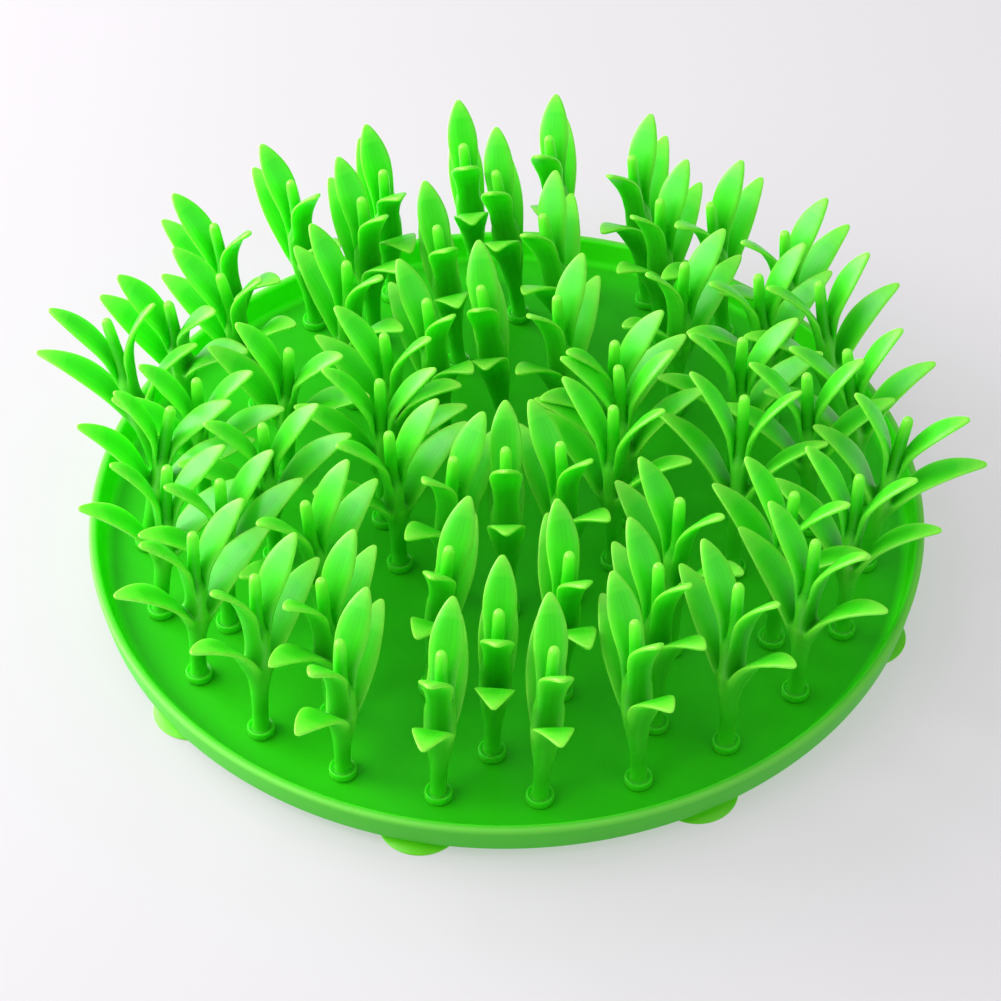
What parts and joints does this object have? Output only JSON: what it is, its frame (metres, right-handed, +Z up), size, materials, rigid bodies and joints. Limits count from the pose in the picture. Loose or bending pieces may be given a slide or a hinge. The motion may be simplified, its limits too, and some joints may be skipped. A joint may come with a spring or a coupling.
{
  "type": "silicone grass feeding mat (lick mat, slow feeder)",
  "caption": "Round shallow silicone tray on suction cups, set with rings of soft upright grass tufts that slow a pet's feeding.",
  "frame": {"origin": "on the table, under the tray's centre", "axes": "+Z up along the tray's axis, +Y away from the side seen in the picture, +X to the right in the picture"},
  "size_m": [0.3335, 0.3169, 0.088],
  "materials": {
    "tray_silicone": "satin moulded silicone, slightly translucent, bright grass green",
    "tuft_silicone": "satin moulded silicone, translucent at the leaf edges, bright light green"
  },
  "bodies": {
    "root": {"tray": "tray_silicone", "tuft_outer_01": "tuft_silicone", "tuft_outer_02": "tuft_silicone", "tuft_outer_03": "tuft_silicone", "tuft_outer_04": "tuft_silicone", "tuft_outer_05": "tuft_silicone", "tuft_outer_06": "tuft_silicone", "tuft_outer_07": "tuft_silicone", "tuft_outer_08": "tuft_silicone", "tuft_outer_09": "tuft_silicone", "tuft_outer_10": "tuft_silicone", "tuft_outer_11": "tuft_silicone", "tuft_outer_12": "tuft_silicone", "tuft_outer_13": "tuft_silicone", "tuft_outer_14": "tuft_silicone", "tuft_outer_15": "tuft_silicone", "tuft_outer_16": "tuft_silicone", "tuft_outer_17": "tuft_silicone", "tuft_outer_18": "tuft_silicone", "tuft_outer_19": "tuft_silicone", "tuft_outer_20": "tuft_silicone", "tuft_outer_21": "tuft_silicone", "tuft_outer_22": "tuft_silicone", "tuft_outer_23": "tuft_silicone", "tuft_outer_24": "tuft_silicone", "tuft_second_01": "tuft_silicone", "tuft_second_02": "tuft_silicone", "tuft_second_03": "tuft_silicone", "tuft_second_04": "tuft_silicone", "tuft_second_05": "tuft_silicone", "tuft_second_06": "tuft_silicone", "tuft_second_07": "tuft_silicone", "tuft_second_08": "tuft_silicone", "tuft_second_09": "tuft_silicone", "tuft_second_10": "tuft_silicone", "tuft_second_11": "tuft_silicone", "tuft_second_12": "tuft_silicone", "tuft_third_01": "tuft_silicone", "tuft_third_02": "tuft_silicone", "tuft_third_03": "tuft_silicone", "tuft_third_04": "tuft_silicone", "tuft_third_05": "tuft_silicone", "tuft_third_06": "tuft_silicone", "tuft_third_07": "tuft_silicone", "tuft_third_08": "tuft_silicone", "tuft_third_09": "tuft_silicone", "tuft_third_10": "tuft_silicone", "tuft_third_11": "tuft_silicone", "tuft_third_12": "tuft_silicone", "tuft_inner_01": "tuft_silicone", "tuft_inner_02": "tuft_silicone", "tuft_inner_03": "tuft_silicone", "tuft_inner_06": "tuft_silicone", "tuft_inner_07": "tuft_silicone", "tuft_inner_08": "tuft_silicone", "tuft_inner_09": "tuft_silicone", "tuft_inner_10": "tuft_silicone", "tuft_inner_11": "tuft_silicone", "tuft_inner_12": "tuft_silicone", "tuft_inner_04_05": "tuft_silicone"}
  },
  "joints": []
}
